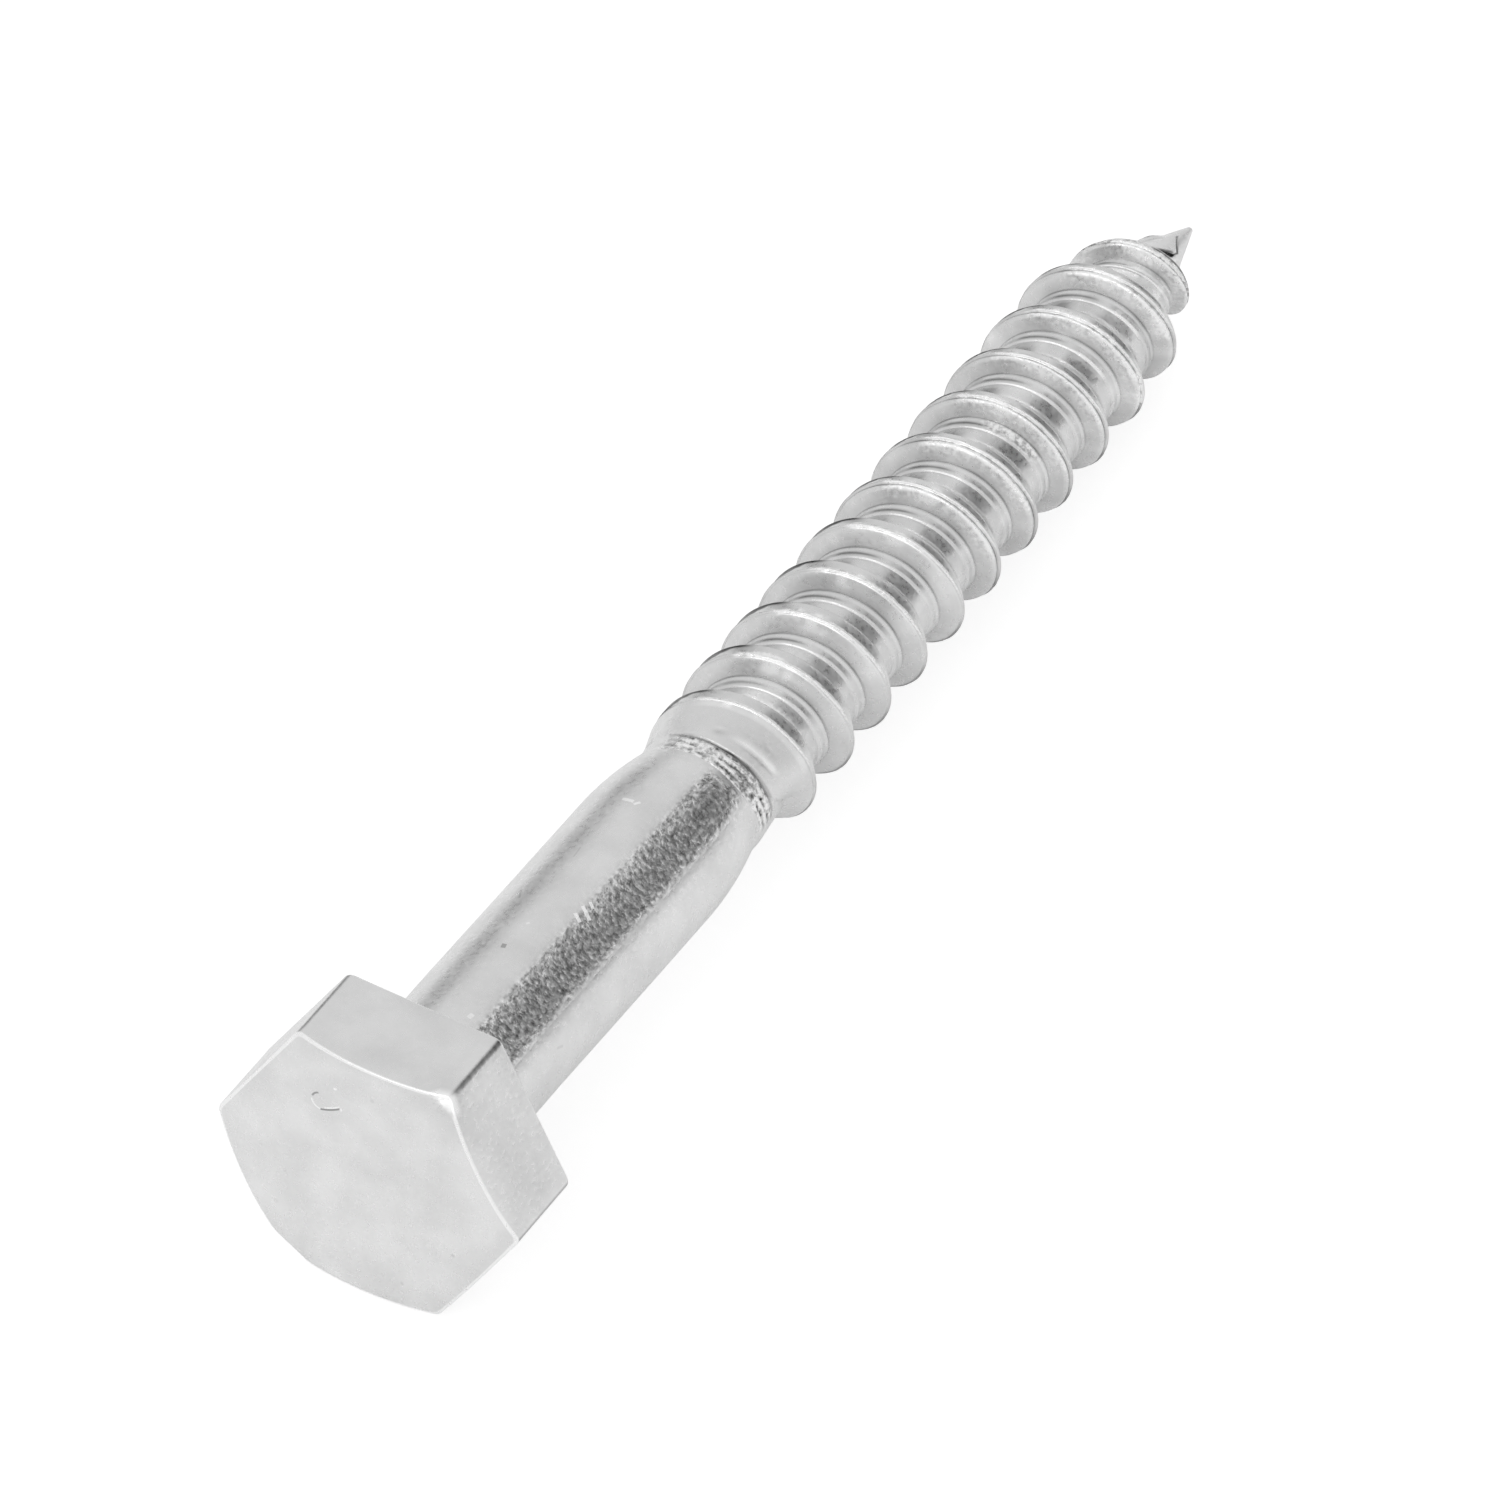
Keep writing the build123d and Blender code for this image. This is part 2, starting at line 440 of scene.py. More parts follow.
def tapered(full_radius, end_radius, power, x):
    """Radius of a form that keeps its full radius up to the point's taper."""
    taper = np.clip((x - TAPER_START) / POINT_TAPER_LENGTH, 0, 1)
    return end_radius + (full_radius - end_radius) * (1 - taper**power)


def plain_radius(x):
    """Shank, neck and core without the thread."""
    in_neck = np.clip(x - SHANK_LENGTH, 0, NECK_LENGTH) / NECK_LENGTH
    neck = SHANK_RADIUS - (SHANK_RADIUS - NECK_RADIUS) * in_neck**2
    root_start = THREAD_START + PITCH
    thinned = np.clip((x - CORE_START) / (root_start - CORE_START), 0, 1)
    core = tapered(ROOT_RADIUS, POINT_RADIUS, ROOT_TAPER_POWER, x)
    return np.where(x < NECK_END, neck, core + (NECK_RADIUS - ROOT_RADIUS) * (1 - thinned))


def crest_radius(x):
    """Radius of the thread's crest at its full height."""
    full_radius = CREST_RADIUS - CREST_FALL * (x - THREAD_START)
    return tapered(full_radius, 0.0, CREST_TAPER_POWER, x)


def strayed(offset, along):
    """Place of a line of the thread's section, from the true helix of the crest."""
    narrow = within(in_first_turn(helix_turn(along)), NARROW_CREST_TURNS)
    foot = drift(along, FOOT_DRIFT)
    crest = drift(along, CREST_DRIFT)
    back = crest + drift(along, CREST_WIDENING) * (1 - narrow) - BACK_DRAWN_IN * narrow
    front = crest + FRONT_DRAWN_IN * narrow
    strays = (0.0, foot, foot, front, front, back, BACK_FOOT_SHARE * back, 0.0)
    return offset + piecewise(offset, STRAYING_PLACES, strays)


def section_share(offset, along):
    """Height of the thread's section, as a share of its full height."""
    seam = smooth_step(along, *SEAM_OPENS)
    places = [place for place, _, _ in SECTION]
    shares = [share + added * seam for _, share, added in SECTION]
    return piecewise(offset, places, shares)


def neck_line(turn, line):
    """Place along the axis of a line about the neck, level at first and slanting then."""
    place, bend_turn, slant = line
    return place + slant * np.maximum(turn - bend_turn, 0)


def first_slope(x, turn):
    """Radius of the long slope that leads from the neck up to the first turn's crest."""
    along = (turn - THREAD_START_TURN) / 360 * PITCH
    late = smooth_step(turn, *LATE_SLOPE_TURNS)
    foot = neck_line(turn, FOLDS_END) + LATE_SLOPE_SHIFT * late
    end = THREAD_START + along + drift(along, CREST_DRIFT) + SLOPE_TOP_OFFSET
    share = np.clip((x - foot) / np.maximum(end - foot, LEAST_SLOPE_LENGTH), 0, 1)
    core = plain_radius(x)
    ledge = np.maximum(NECK_RADIUS + LEDGE_HEIGHT - core, 0) * (1 - late)
    ledge = ledge * smooth_step(along, *LEDGE_STARTS)
    run_in = quarter_wave(along / (RUN_IN_TURNS * PITCH))
    rise = ledge + (crest_radius(x) - SLOPE_TOP_DROP - core - ledge) * run_in * share**SLOPE_POWER
    step = STEP_HEIGHT * within(x - foot, STEP_PLACES) * within(turn, STEP_TURNS)
    return core + np.maximum(rise, 0) * (share > 0) + step


def neck_folds(x, turn):
    """Height, tone and roughness of the folds between the neck and the first turn's slope. The tone
    is painted light and shade on the folds, in their groove and at the crease.
    """
    start = neck_line(turn, FOLDS_BEGIN)
    end = neck_line(turn, FOLDS_END)
    share = np.clip((x - start) / (end - start), 0, 1)
    on_skin = np.stack(np.broadcast_arrays(x, turn * FOLD_ARC, 0 * x), -1)
    strewn = noise(on_skin * np.array([1.0, 0.5, 1.0]), *STREWN)
    flakes = noise(on_skin, *FOLD_FLAKES)
    folded = within(turn, FOLD_TURNS) * within(share, FOLD_SHARES)
    waves = np.sin(2 * math.pi * (FOLD_COUNT * share + FOLD_PHASE + FOLD_PHASE_NOISE * strewn))
    waves = waves * (FOLD_STRENGTH + FOLD_STRENGTH_NOISE * strewn)
    groove = line_at(x, end, GROOVE_HALF_WIDTH) * within(turn, GROOVE_TURNS)
    creased = within(turn, CREASE_TURNS) * (0.7 + 0.6 * strewn)
    crease = creased * line_at(x, end + CREASE_PLACE, CREASE_HALF_WIDTH)

    height = folded * (FOLD_HEIGHT * waves + FOLD_FLAKE_HEIGHT * flakes + FOLD_LIFT)
    height = height - GROOVE_DEPTH * groove - CREASE_DEPTH * crease
    tone = folded * (FOLD_TONE * waves + FOLD_FLAKE_TONE * flakes)
    tone = tone + GROOVE_PAINTED_SHADE * groove * (0.85 + 0.5 * strewn)
    for place, half_width, line_tone in CREASE_LINES:
        tone = tone + line_tone * creased * line_at(x, end + place, half_width)
    return height, tone, folded


def thread_surface(offset, along):
    """Places along the axis, radii and turns on the thread, for lines of its section."""
    turn = helix_turn(along)
    crest_x = THREAD_START + along
    x = crest_x + strayed(offset, along)
    run_in = quarter_wave(along / (RUN_IN_TURNS * PITCH))
    run_out = quarter_wave((THREAD_END - crest_x) / (RUN_OUT_TURNS * PITCH))
    ahead = offset < 0
    after_crest = np.where(ahead, offset + PITCH, offset)
    crest_along = np.where(ahead, along - PITCH, along)
    fill = np.clip((ROOT_FILL_END - after_crest) / ROOT_FILL_LENGTH, 0, 1) ** ROOT_FILL_POWER
    core = plain_radius(x) + ROOT_FILL * within(crest_along, ROOT_FILL_STRETCH) * fill
    depth = np.maximum(crest_radius(x) - core, 0) * run_in * run_out
    radius = core + depth * section_share(offset, along)
    on_slope = (offset < SLOPE_TOP_OFFSET) * (1 - smooth_step(along, *SLOPE_ENDS))
    return x, radius + (first_slope(x, turn) - radius) * on_slope, turn


def near_line(x, turn, knots):
    """Distance in millimetres from a bent line over the point, whose knots are (x, turn)."""
    across = turn * POINT_ARC
    least = np.inf
    for (x0, turn0), (x1, turn1) in zip(knots, knots[1:]):
        run_x, run_across = x1 - x0, (turn1 - turn0) * POINT_ARC
        ahead, aside = x - x0, across - turn0 * POINT_ARC
        share = np.clip((ahead * run_x + aside * run_across) / (run_x**2 + run_across**2), 0, 1)
        least = np.minimum(least, np.hypot(ahead - share * run_x, aside - share * run_across))
    return least


def point_crack(x, turn):
    """Height and tone of the crack that the shears leave where they close on the point; the tone is
    painted shade in the crack.
    """
    turned = in_first_turn(turn)
    height, tone = 0.0, 0.0
    for knots, crack in ((POINT_CRACK[:2], WIDE_CRACK), (POINT_CRACK[1:], THIN_CRACK)):
        half_width, depth, line_tone = crack
        line = line_at(near_line(x, turned, knots), 0, half_width)
        height = height - depth * line
        tone = tone + line_tone * line
    return height, tone


def section_tone(offset, along, turn, place):
    """Tone and roughness of the thread: painted highlights on the crest's burr and flank, painted
    shade in the grooves and along edges, painted light in some roots, and a patchy tone of its own.
    """
    turned = in_first_turn(turn)
    broken_by = {
        "nothing": 1.0,
        "blobs": smooth_step(noise(place, *BLOBS), -0.25, 0.3),
        "streaks": 0.95 + 0.6 * noise(place, *STREAKS),
    }
    far_side = 1 - smooth_step(turned, *FAR_SIDE_ENDS)
    patch_tone = PATCH_TONE + LATE_PATCH_TONE * smooth_step(along, *LATE_PATCHES_GROW)
    tone = patch_tone * noise(place, *PATCHES) + THREAD_TONE + FAR_SIDE_TONE * far_side
    tone = tone * smooth_step(along, *THREAD_TONE_STARTS)
    rough = 0.0
    for middle, half_width, turns, stretch, breaking, line_tone, line_rough in THREAD_LINES:
        line = line_at(offset, middle, half_width) * within(turned, turns) * within(along, stretch)
        line = line * broken_by[breaking]
        tone = tone + line_tone * line
        rough = rough + line_rough * line
    for offsets, turns, stretch, band_tone in THREAD_BANDS:
        band = within(offset, offsets) * within(turned, turns) * within(along, stretch)
        tone = tone + band_tone * band
    edge_start = BACK_EDGE_START + BACK_EDGE_SHIFT * smooth_step(turned, *BACK_EDGE_SHIFTS)
    edge = within(offset, (edge_start, edge_start + BACK_EDGE_RISE, *BACK_EDGE_ENDS))
    back_edge_shade = BACK_EDGE_PAINTED_SHADE + BACK_EDGE_SEAM_PAINTED_SHADE * smooth_step(along, *SEAM_OPENS)
    return tone + back_edge_shade * edge * within(turned, BACK_EDGE_TURNS), np.clip(rough, 0, 1)


def bow(x):
    """How far the screw's axis strays sideways."""
    wave = BOW * np.sin(math.pi * (np.maximum(x, BOW_START) - BOW_START) / BOW_LENGTH)
    bent = np.clip((x - POINT_BEND_START) / (SCREW_LENGTH - POINT_BEND_START), 0, 1)
    return -wave * np.where(wave < 0, BOW_BEYOND, 1.0) - POINT_BEND * bent


def rod_places(x, radius, turn, roughness=0.0):
    """Places in the screw's own frame, with the grain of the plating and torn flakes."""
    x, radius, turn = np.broadcast_arrays(x, radius, turn)
    angle = np.radians(turn)
    place = np.stack([x, radius * np.cos(angle), radius * np.sin(angle)], -1)
    flakes = noise(place * np.array([1.6, 1.0, 1.0]), *FLAKES)
    radius = radius + GRAIN_HEIGHT * noise(place, *GRAIN) + FLAKE_HEIGHT * roughness * flakes
    x = x + FLAKE_SHIFT * roughness * noise(place, *FLAKE_SHIFTS)
    return np.stack([x, radius * np.cos(angle) + bow(x), radius * np.sin(angle)], -1)


# Form of the head: a hexagon outline with as many points as the rod has columns


def hexagon_outline():
    """Points (y, z) around the rounded hexagon, in order of their turn about the axis."""
    per_half = COLUMNS // 12
    arc_steps = 3
    half_flat = (FLAT_RADIUS - CORNER_RADIUS) * math.tan(math.radians(30))
    outline = []
    for flat in range(6):
        normal = math.radians(90 + 60 * flat)
        across = np.array([math.cos(normal), math.sin(normal)])
        along = np.array([-math.sin(normal), math.cos(normal)])
        for step in range(-per_half, per_half):
            if abs(step) <= per_half - arc_steps:
                on_flat = half_flat * step / (per_half - arc_steps)
                outline.append(across * FLAT_RADIUS + along * on_flat)
                continue
            side = 1 if step > 0 else -1
            bend = math.radians(30) * (abs(step) - per_half + arc_steps) / arc_steps
            centre = across * (FLAT_RADIUS - CORNER_RADIUS) + along * half_flat * side
            turned = across * math.cos(bend) + along * math.sin(bend) * side
            outline.append(centre + turned * CORNER_RADIUS)
    return np.array(outline)


def head_top(radius):
    """Place along the axis on the head's top: flat in the middle, crowned towards the corners."""
    edge_height = math.sqrt(CROWN_RADIUS**2 - TOP_FACE_RADIUS**2)
    drop = edge_height - np.sqrt(CROWN_RADIUS**2 - radius**2)
    return -HEAD_HEIGHT + 0.5 * (drop + np.sqrt(drop**2 + CROWN_SOFTNESS**2))


def head_rings():
    """Closed rings of points from the top face's middle to the shank."""
    outline = hexagon_outline()
    reach = np.linalg.norm(outline, axis=1)
    direction = outline / reach[:, None]
    bends = np.radians((30, 60, 90))

    # Top face and crown: circles, then rings that grow into the outline
    last_circle = 8.2
    circles = (0.02, *np.linspace(0.5, 7.5, 15), 7.75, 7.9, 8.0, 8.1, last_circle)
    rings = [(head_top(np.full(COLUMNS, radius)), direction * radius) for radius in circles]
    bevel_start = reach - RIM_BEVEL
    for share in (0.15, 0.4, 0.65, 0.8, 0.9, 1.0):
        radii = last_circle + (bevel_start - last_circle) * share
        rings.append((head_top(radii), direction * radii[:, None]))

    # Bevel of the rim, sides, and rounding of the bearing face's edge
    edge_x = head_top(bevel_start)
    for bend in bends:
        radii = bevel_start + RIM_BEVEL * math.sin(bend)
        rings.append((edge_x + RIM_BEVEL * (1 - math.cos(bend)), direction * radii[:, None]))
    side_start = edge_x + RIM_BEVEL
    for share in np.linspace(0, 1, 10)[1:]:
        rings.append((side_start + (-BEARING_EDGE_RADIUS - side_start) * share, outline))
    for bend in np.radians((18, 36, 54, 72, 90)):
        radii = reach - BEARING_EDGE_RADIUS * (1 - math.cos(bend))
        rise = BEARING_EDGE_RADIUS * (math.sin(bend) - 1)
        rings.append((np.full(COLUMNS, rise), direction * radii[:, None]))

    # Bearing face, and the rounding from there to the shank
    turn = np.radians(shank_turns())
    circle = np.stack([np.cos(turn), np.sin(turn)], -1)
    face_edge = rings[-1][1]
    cone_radius = SHANK_RADIUS + UNDER_HEAD_CONE
    for share in np.linspace(0, 1, 5)[1:]:
        rings.append((np.zeros(COLUMNS), face_edge * (1 - share) + circle * cone_radius * share))
    for bend in bends:
        x = np.full(COLUMNS, UNDER_HEAD_CONE * (1 - math.cos(bend)))
        rings.append((x, circle * (cone_radius - UNDER_HEAD_CONE * math.sin(bend))))
    return blunted(np.stack([np.concatenate([x[:, None], across], 1) for x, across in rings]))


def blunted(points):
    """The head's points, with the tips of some corners pressed flat at half a right angle."""
    for turn, depth in BLUNT_CORNERS:
        angle = math.radians(turn)
        facing = np.array([-1, math.cos(angle), math.sin(angle)]) / math.sqrt(2)
        reach = points @ facing
        points = points - np.maximum(reach - reach.max() + depth, 0)[..., None] * facing
    return points


def head_tones(points):
    """Painted shade along the middle of each upright corner, and a painted highlight on the rim."""
    reach = np.linalg.norm(hexagon_outline(), axis=1)
    radii = np.linalg.norm(points[..., 1:], axis=-1)
    from_corner = np.arange(COLUMNS) % (COLUMNS // 6)
    from_corner = np.minimum(from_corner, COLUMNS // 6 - from_corner)
    on_side = radii > reach - 0.02
    on_rim = ~on_side & (radii > reach - RIM_BEVEL - 0.01) & (points[..., 0] < -HEAD_HEIGHT / 2)
    return on_side * np.interp(from_corner, (0, 1, 2), (-0.7, -0.3, 0.0)) + 0.5 * on_rim


def shank_turns():
    """Turn about the axis of each column of the shank, in the outline's order."""
    first_corner_turn = 60
    first_column = round((first_corner_turn - THREAD_START_TURN) / 360 * COLUMNS)
    return THREAD_START_TURN + 360 * (first_column + np.arange(COLUMNS)) / COLUMNS


# Meshing


def add_grid(mesh, points, tones=0.0, roughs=0.0):
    """Quads over a grid of points (rows, columns, 3), whose vertices carry a tone and a roughness."""
    rows, columns = points.shape[:2]
    corners = [[mesh.verts.new(point) for point in row] for row in points]
    for row in range(rows - 1):
        for column in range(columns - 1):
            quad = (
                corners[row][column],
                corners[row][column + 1],
                corners[row + 1][column + 1],
                corners[row + 1][column],
            )
            mesh.faces.new(quad)
    for name, values in (("tone", tones), ("rough", roughs)):
        layer = mesh.verts.layers.float[name]
        for row, row_values in zip(corners, np.broadcast_to(values, points.shape[:2])):
            for corner, value in zip(row, row_values):
                corner[layer] = value
    return corners


def closed(rings):
    """Rings as a grid whose last column repeats the first."""
    return np.concatenate([rings, rings[:, :1]], 1)


def add_head(mesh):
    """Head, whose last ring is the shank's first."""
    rings = head_rings()
    rings[-1] = rod_places(UNDER_HEAD_CONE, SHANK_RADIUS, shank_turns())
    head = add_grid(mesh, closed(rings), closed(head_tones(rings)))
    middle = mesh.verts.new(np.mean([corner.co for corner in head[0]], 0))
    for near, far in zip(head[0], head[0][1:]):
        mesh.faces.new((middle, far, near))


def add_shank(mesh, one_turn):
    """Shank and neck, up to the strip that carries the thread."""
    x = np.concatenate([
        np.linspace(UNDER_HEAD_CONE, SHANK_LENGTH, 23),
        np.linspace(SHANK_LENGTH, STRIP_START, 11)[1:],
    ])[:, None]
    at_head = 1 + SPECKLE_AT_HEAD * np.exp(-x / SPECKLE_FADING_LENGTH)
    # Roughness of the speckle, and a painted dark reflection in the same band
    speckle_and_dark_band = SPECKLE_ROUGHNESS * within(one_turn, SPECKLE_TURNS) * at_head
    add_grid(mesh, rod_places(x, plain_radius(x), one_turn), SPECKLE_BAND_PAINTED_REFLECTION * speckle_and_dark_band, speckle_and_dark_band)


def add_run_in(mesh, lines, share, one_turn):
    """Wedge between the neck's last ring and the start of the thread's strip."""
    first_x, _, _ = thread_surface(lines, 0.0)
    even = np.linspace(0, PITCH, len(lines))[:, None]
    rows = even + (first_x - STRIP_START - even) * smooth_step(share, 0.8, 1.0)
    x = STRIP_START + share * rows
    plain = plain_radius(x)
    sloped = 1 - smooth_step(PITCH * share, *SLOPE_ENDS)
    folds, fold_tones, torn = neck_folds(x, one_turn)
    radius = plain + (first_slope(x, one_turn) - plain) * sloped + folds
    add_grid(mesh, rod_places(x, radius, one_turn), fold_tones, torn)


def add_thread(mesh, lines):
    """Strip one pitch wide that winds about the axis, with the crest in its middle."""
    along = PITCH * np.arange(STRIP_TURNS * COLUMNS + 1)[None, :] / COLUMNS
    x, radius, turn = thread_surface(lines, along)
    folds, fold_tones, torn = neck_folds(x, turn)
    cracks, crack_tones = point_crack(x, turn)
    on_top = within(in_first_turn(turn), RAGGED_TURNS)
    ragged = line_at(lines, *RAGGED_LINE) * (RAGGED_ELSEWHERE + (1 - RAGGED_ELSEWHERE) * on_top)
    ragged = ragged * within(along, RAGGED_STRETCH)
    places = rod_places(x, radius + folds + cracks, turn, ragged)
    tones, roughs = section_tone(lines, along, turn, places)
    add_grid(mesh, places, tones + fold_tones + crack_tones, np.maximum(roughs, torn))


def add_run_out(mesh, lines, share):
    """Wedge between the end of the thread's strip and the point's first ring."""
    last_x, _, _ = thread_surface(lines, PITCH * STRIP_TURNS)
    along = PITCH * (STRIP_TURNS + share)
    x = STRIP_END - (1 - share) * (STRIP_END - last_x)
    _, radius, turn = thread_surface(x - THREAD_START - along, along)
    core = plain_radius(x)
    radius = core + (radius - core) * (1 - smooth_step(x, LAST_RIDGE_SINKS, STRIP_END))
    cracks, crack_tones = point_crack(x, turn)
    add_grid(mesh, rod_places(x, radius + cracks, turn), crack_tones)


def add_point(mesh, one_turn):
    """Blunt tip beyond the thread."""
    x = np.linspace(STRIP_END, SCREW_LENGTH, 11)[:, None]
    cracks, crack_tones = point_crack(x, one_turn)
    rings = add_grid(mesh, rod_places(x, plain_radius(x) + cracks, one_turn), crack_tones)
    tip = mesh.verts.new((SCREW_LENGTH, bow(SCREW_LENGTH), 0))
    for near, far in zip(rings[-1], rings[-1][1:]):
        mesh.faces.new((near, far, tip))


def new_object(name, mesh):
    """Object in the scene that takes over a mesh under construction."""
    data = bpy.data.meshes.new(name)
    mesh.to_mesh(data)
    mesh.free()
    made = bpy.data.objects.new(name, data)
    bpy.context.scene.collection.objects.link(made)
    return made


def build_screw():
    """The whole screw as one closed mesh object in the row frame."""
    mesh = bmesh.new()
    mesh.verts.layers.float.new("tone")
    mesh.verts.layers.float.new("rough")
    lines = np.array(SECTION_LINES)[:, None]
    share = np.arange(COLUMNS + 1)[None, :] / COLUMNS
    one_turn = THREAD_START_TURN + 360 * share
    add_head(mesh)
    add_shank(mesh, one_turn)
    add_run_in(mesh, lines, share, one_turn)
    add_thread(mesh, lines)
    add_run_out(mesh, lines, share)
    add_point(mesh, one_turn)

    bmesh.ops.remove_doubles(mesh, verts=mesh.verts, dist=0.001)
    bmesh.ops.recalc_face_normals(mesh, faces=mesh.faces)
    for face in mesh.faces:
        face.smooth = True
    mesh.transform(screw_frame())
    return new_object("screw", mesh)


# Shader nodes


def set_input(tree, slot, value):
    """Give an input a number, or link another node's output to it."""
    if isinstance(value, bpy.types.NodeSocket):
        tree.links.new(value, slot)
    else:
        slot.default_value = value


def add_node(tree, kind, *values, **settings):
    """Shader node whose first inputs take numbers or other nodes' outputs."""
    node = tree.nodes.new("ShaderNode" + kind)
    for name, setting in settings.items():
        setattr(node, name, setting)
    for slot, value in zip(node.inputs, values):
        set_input(tree, slot, value)
    return node


def add_math(tree, operation, *values):
    """Output of a math node."""
    return add_node(tree, "Math", *values, operation=operation).outputs[0]


def mapped(tree, source, source_range, target_range):
    """Output of a node that maps one range of a source evenly to another."""
    return add_node(tree, "MapRange", source, *source_range, *target_range).outputs[0]


def attribute(tree, name):
    """Number that each vertex of the mesh carries under a name."""
    return add_node(tree, "Attribute", attribute_name=name).outputs["Fac"]


def cloudy(tree, cell, detail):
    """Noise over the object, whose features are about one cell wide, in millimetres."""
    clouds = add_node(tree, "TexNoise", add_node(tree, "TexCoord").outputs["Object"])
    clouds.inputs["Scale"].default_value = 1 / (cell * MM)
    clouds.inputs["Detail"].default_value = detail
    return clouds.outputs["Fac"]


def bumpy(tree, height, strength, distance):
    """Bump node over a height, with its distance in millimetres."""
    bump = add_node(tree, "Bump")
    bump.inputs["Strength"].default_value = strength
    bump.inputs["Distance"].default_value = distance * MM
    set_input(tree, bump.inputs["Height"], height)
    return bump


def local_places(tree, middle, axes):
    """Distances from a place on the screw along some axes, all in the screw's own frame."""
    place = add_node(tree, "TexCoord").outputs["Object"]
    origin = screw_frame() @ Vector(middle)
    local = add_node(tree, "VectorMath", place, origin, operation="SUBTRACT").outputs["Vector"]
    turned = screw_frame().to_3x3().normalized()
    outputs = []
    for axis in axes:
        dot = add_node(tree, "VectorMath", local, turned @ Vector(axis), operation="DOT_PRODUCT")
        outputs.append(dot.outputs["Value"])
    return outputs


def all_within(tree, limits):
    """One where each value's size is less than its limit in millimetres, else nil."""
    inside = 1.0
    for value, limit in limits:
        near = add_math(tree, "LESS_THAN", add_math(tree, "ABSOLUTE", value), limit * MM)
        inside = add_math(tree, "MULTIPLY", near, inside)
    return inside


# Materials

ALL_ROUND = (-180, 180)
SKIN_DEPTH = 1.0  # how far off the face or the shank a nick or scratch would still show

# Nicks and specks on the head's top face, as parts of circles: middle (across and up), radius,
# half width, first and last direction, and tone. A speck's radius is nil
NICKS = (
    # Each nick is a dark arc of painted shade beside a bright arc of painted highlight
    ((2.76, 4.86), 0.58, 0.06, (15, 72), -0.7),
    ((2.76, 4.86), 0.60, 0.05, (-90, -5), 0.7),
    ((3.90, 7.90), 3.83, 0.06, (-128, -107), -0.8),
    ((3.90, 7.90), 3.70, 0.05, (-129, -112), 0.6),
    ((1.9, 6.24), 0.0, 0.1, ALL_ROUND, 0.6),
    ((1.47, 4.85), 0.0, 0.09, ALL_ROUND, 0.9),
    ((-6.07, -2.46), 0.0, 0.14, ALL_ROUND, -0.16),
    ((-2.97, -6.33), 0.0, 0.12, ALL_ROUND, -0.16),
    ((4.85, -1.64), 0.0, 0.13, ALL_ROUND, -0.1),
    ((5.35, -4.29), 0.0, 0.16, ALL_ROUND, -0.09),
    ((-1.82, -0.4), 0.0, 0.1, ALL_ROUND, -0.1),
    ((-0.48, 6.56), 0.0, 0.13, ALL_ROUND, -0.12),
)

# Scratches and specks on the shank: both ends as a place along the axis and a turn, half width,
# and tone
SCRATCHES = (
    ((14.03, 111.8), (14.38, 105.1), 0.12, 2.2),
    ((14.6, 115.7), (15.11, 105.7), 0.12, 2.2),
    ((15.42, 112.3), (15.67, 107.6), 0.1, 2.0),
    ((3.7, 98.3), (4.1, 98.9), 0.14, 1.0),
    ((23.98, 74.3), (23.99, 82.7), 0.12, 0.6),
    ((23.78, 84.3), (24.11, 87.3), 0.09, 0.6),
    ((9.6, 83.2), (9.95, 82.3), 0.14, -0.6),
    ((14.03, 64.1), (14.82, 59.3), 0.07, -0.3),
    ((18.26, 76.3), (19.2, 75.3), 0.05, -0.2),
    ((11.99, 84.2), (12.16, 85.7), 0.07, 0.3),
    ((7.13, 159.5), (7.7, 162.3), 0.08, -0.15),
)


def new_material(name):
    """Material with its node tree, which holds only the output, and that output's surface."""
    material = bpy.data.materials.new(name)
    material.use_nodes = True
    tree = material.node_tree
    tree.nodes.clear()
    return material, tree, add_node(tree, "OutputMaterial").inputs["Surface"]


